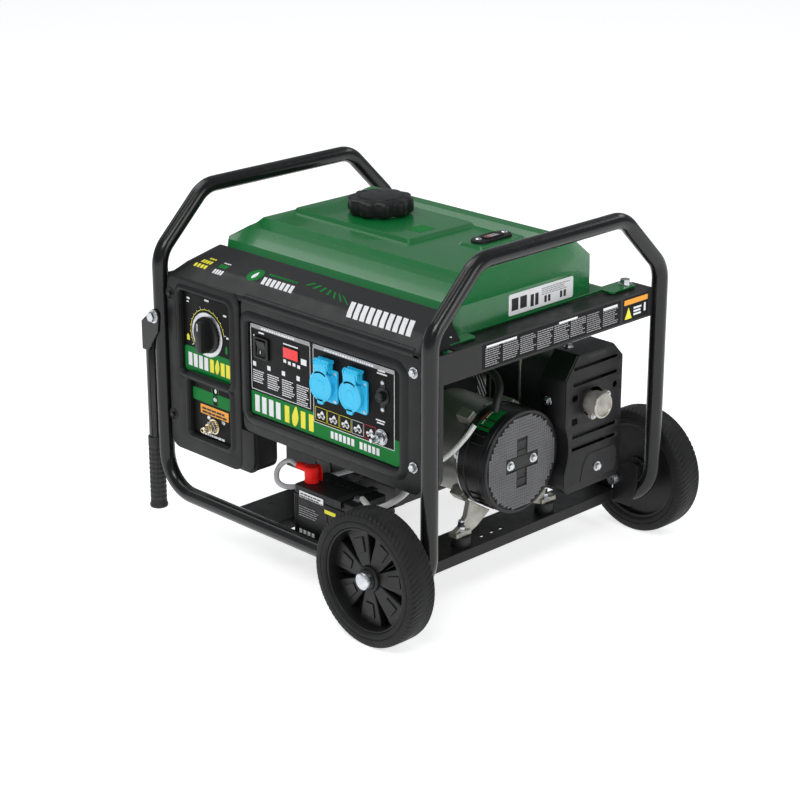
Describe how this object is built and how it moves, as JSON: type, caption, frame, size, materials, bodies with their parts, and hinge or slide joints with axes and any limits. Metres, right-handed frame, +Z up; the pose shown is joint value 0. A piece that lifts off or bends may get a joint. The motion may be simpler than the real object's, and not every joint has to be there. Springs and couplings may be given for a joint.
{
  "type": "portable generator",
  "caption": "Wheeled portable generator with tubular frame, steel fuel tank, control panel with outlets, engine, alternator, battery, muffler and folding handles.",
  "frame": {"origin": "middle of the bounding box's bottom face: on the floor, under the middle of the tubular frame", "axes": "+Z up; the control panel faces -Y; the wheels, alternator and muffler are at +X and the folding handles at -X"},
  "size_m": [0.6614, 0.6416, 0.5575],
  "materials": {
    "left_hoop": "gloss black paint",
    "right_hoop": "gloss black paint",
    "bottom_tubes": "gloss black paint",
    "side_rails": "black powder coat",
    "left_cross_member": "black powder coat",
    "right_cross_member": "black powder coat",
    "support_leg": "black powder coat",
    "leg_feet": "matt rubber",
    "axle_bolts": "zinc plated",
    "axle_clips": "zinc plated",
    "front_tyre": "matt rubber",
    "front_rim": "moulded",
    "rear_tyre": "matt rubber",
    "rear_rim": "moulded",
    "front_handle": "gloss black paint",
    "front_grip": "matt rubber",
    "rear_handle": "gloss black paint",
    "rear_grip": "matt rubber",
    "handle_pivot_bolts": "zinc plated",
    "tank_shell": "gloss green paint",
    "tank_base": "gloss green paint",
    "filler_neck": "gloss green paint",
    "cap_gasket": "matt rubber",
    "fuel_cap": "moulded",
    "fuel_gauge": "moulded",
    "float_arm": "plain",
    "tank_bolts": "zinc plated",
    "control_panel": "fine grain",
    "label_plates": "printed film",
    "selector_knob": "moulded",
    "start_rocker": "moulded",
    "socket_bases": "moulded",
    "socket_lid_1": "moulded",
    "socket_lid_2": "moulded",
    "breaker_button": "moulded",
    "ground_stud": "zinc plated",
    "ground_nut": "zinc plated",
    "gas_inlet": "nickelled brass",
    "panel_bolts": "zinc plated",
    "battery_tray": "black powder coat",
    "battery": "fine grain",
    "terminal_boot": "soft moulded",
    "wiring": "sheathed lead",
    "crankcase": "cast, black painted",
    "cylinder": "cast",
    "recoil_housing": "fine grain",
    "recoil_grip": "moulded",
    "rotor": "machined",
    "stator_housing": "cast",
    "end_bell": "moulded",
    "end_cover": "grey mesh",
    "alternator_foot": "cast",
    "engine_mounts": "matt rubber",
    "air_filter": "moulded",
    "carburettor": "die cast",
    "choke_lever": "zinc plated",
    "oil_dipstick": "moulded",
    "muffler": "heat-proof paint",
    "muffler_shield": "black powder coat",
    "exhaust_outlet": "heat-tinted"
  },
  "bodies": {
    "frame": {"left_hoop": "left_hoop", "right_hoop": "right_hoop", "bottom_tubes": "bottom_tubes", "side_rails": "side_rails", "left_cross_member": "left_cross_member", "right_cross_member": "right_cross_member", "support_leg": "support_leg", "leg_feet": "leg_feet", "axle_bolts": "axle_bolts", "axle_clips": "axle_clips", "handle_pivot_bolts": "handle_pivot_bolts", "tank_shell": "tank_shell", "tank_base": "tank_base", "filler_neck": "filler_neck", "fuel_gauge": "fuel_gauge", "tank_bolts": "tank_bolts", "control_panel": "control_panel", "label_plates": "label_plates", "socket_bases": "socket_bases", "ground_stud": "ground_stud", "gas_inlet": "gas_inlet", "panel_bolts": "panel_bolts", "battery_tray": "battery_tray", "battery": "battery", "terminal_boot": "terminal_boot", "wiring": "wiring", "crankcase": "crankcase", "cylinder": "cylinder", "recoil_housing": "recoil_housing", "stator_housing": "stator_housing", "end_bell": "end_bell", "end_cover": "end_cover", "alternator_foot": "alternator_foot", "engine_mounts": "engine_mounts", "air_filter": "air_filter", "carburettor": "carburettor", "muffler": "muffler", "muffler_shield": "muffler_shield", "exhaust_outlet": "exhaust_outlet"},
    "front_wheel": {"front_tyre": "front_tyre", "front_rim": "front_rim"},
    "rear_wheel": {"rear_tyre": "rear_tyre", "rear_rim": "rear_rim"},
    "front_handle": {"front_handle": "front_handle", "front_grip": "front_grip"},
    "rear_handle": {"rear_handle": "rear_handle", "rear_grip": "rear_grip"},
    "selector_knob": {"selector_knob": "selector_knob"},
    "start_rocker": {"start_rocker": "start_rocker"},
    "socket_lid_1": {"socket_lid_1": "socket_lid_1"},
    "socket_lid_2": {"socket_lid_2": "socket_lid_2"},
    "breaker_button": {"breaker_button": "breaker_button"},
    "ground_nut": {"ground_nut": "ground_nut"},
    "cap_gasket": {"cap_gasket": "cap_gasket"},
    "fuel_cap": {"fuel_cap": "fuel_cap"},
    "float_arm": {"float_arm": "float_arm"},
    "recoil_grip": {"recoil_grip": "recoil_grip"},
    "rotor": {"rotor": "rotor"},
    "choke_lever": {"choke_lever": "choke_lever"},
    "oil_dipstick": {"oil_dipstick": "oil_dipstick"}
  },
  "joints": [
    {"name": "front_wheel_spin", "type": "hinge", "parent": "frame", "child": "front_wheel", "pos_m": [0.2307, -0.2945, 0.1], "axis": [0, 1, 0], "continuous": true},
    {"name": "rear_wheel_spin", "type": "hinge", "parent": "frame", "child": "rear_wheel", "pos_m": [0.2307, 0.2945, 0.1], "axis": [0, 1, 0], "continuous": true},
    {"name": "front_handle_fold", "type": "hinge", "parent": "frame", "child": "front_handle", "pos_m": [-0.29, -0.2455, 0.358], "axis": [0, 1, 0], "range_deg": [0, 90]},
    {"name": "rear_handle_fold", "type": "hinge", "parent": "frame", "child": "rear_handle", "pos_m": [-0.29, 0.2455, 0.358], "axis": [0, 1, 0], "range_deg": [0, 90]},
    {"name": "selector_turn", "type": "hinge", "parent": "frame", "child": "selector_knob", "pos_m": [-0.184, -0.243, 0.3485], "axis": [0, -1, 0], "range_deg": [-120, 120]},
    {"name": "rocker_tilt", "type": "hinge", "parent": "frame", "child": "start_rocker", "pos_m": [-0.06, -0.242, 0.357], "axis": [1, 0, 0], "range_deg": [-10, 10]},
    {"name": "socket_lid_1_open", "type": "hinge", "parent": "frame", "child": "socket_lid_1", "pos_m": [0.0815, -0.252, 0.371], "axis": [-1, 0, 0], "range_deg": [0, 100], "stiffness_Nm_per_rad": 0.004, "springref_deg": -28.65},
    {"name": "socket_lid_2_open", "type": "hinge", "parent": "frame", "child": "socket_lid_2", "pos_m": [0.1425, -0.252, 0.371], "axis": [-1, 0, 0], "range_deg": [0, 100], "stiffness_Nm_per_rad": 0.004, "springref_deg": -28.65},
    {"name": "breaker_press", "type": "slide", "parent": "frame", "child": "breaker_button", "axis": [0, 1, 0], "range_m": [0, 0.003], "stiffness_N_per_m": 300, "springref_m": -0.002},
    {"name": "ground_nut_turn", "type": "hinge", "parent": "frame", "child": "ground_nut", "pos_m": [0.193, -0.25, 0.286], "axis": [0, -1, 0], "range_deg": [0, 360]},
    {"name": "cap_lift", "type": "slide", "parent": "frame", "child": "cap_gasket", "axis": [0, 0, 1], "range_m": [0, 0.08]},
    {"name": "cap_turn", "type": "hinge", "parent": "cap_gasket", "child": "fuel_cap", "pos_m": [-0.095, 0.036, 0.52], "axis": [0, 0, 1], "range_deg": [0, 90]},
    {"name": "fuel_float", "type": "hinge", "parent": "frame", "child": "float_arm", "pos_m": [0.124, 0.052, 0.472], "axis": [0, 1, 0], "range_deg": [0, 45]},
    {"name": "recoil_pull", "type": "slide", "parent": "frame", "child": "recoil_grip", "axis": [-1, 0, 0], "range_m": [0, 0.5], "stiffness_N_per_m": 10, "springref_m": -0.3},
    {"name": "rotor_spin", "type": "hinge", "parent": "frame", "child": "rotor", "pos_m": [0, 0, 0.194], "axis": [1, 0, 0], "continuous": true},
    {"name": "choke_move", "type": "hinge", "parent": "frame", "child": "choke_lever", "pos_m": [-0.095, 0.18, 0.246], "axis": [0, 1, 0], "range_deg": [-30, 25]},
    {"name": "dipstick_turn", "type": "hinge", "parent": "frame", "child": "oil_dipstick", "pos_m": [-0.02, -0.09, 0.128], "axis": [0, -1, 0], "range_deg": [0, 360]}
  ]
}
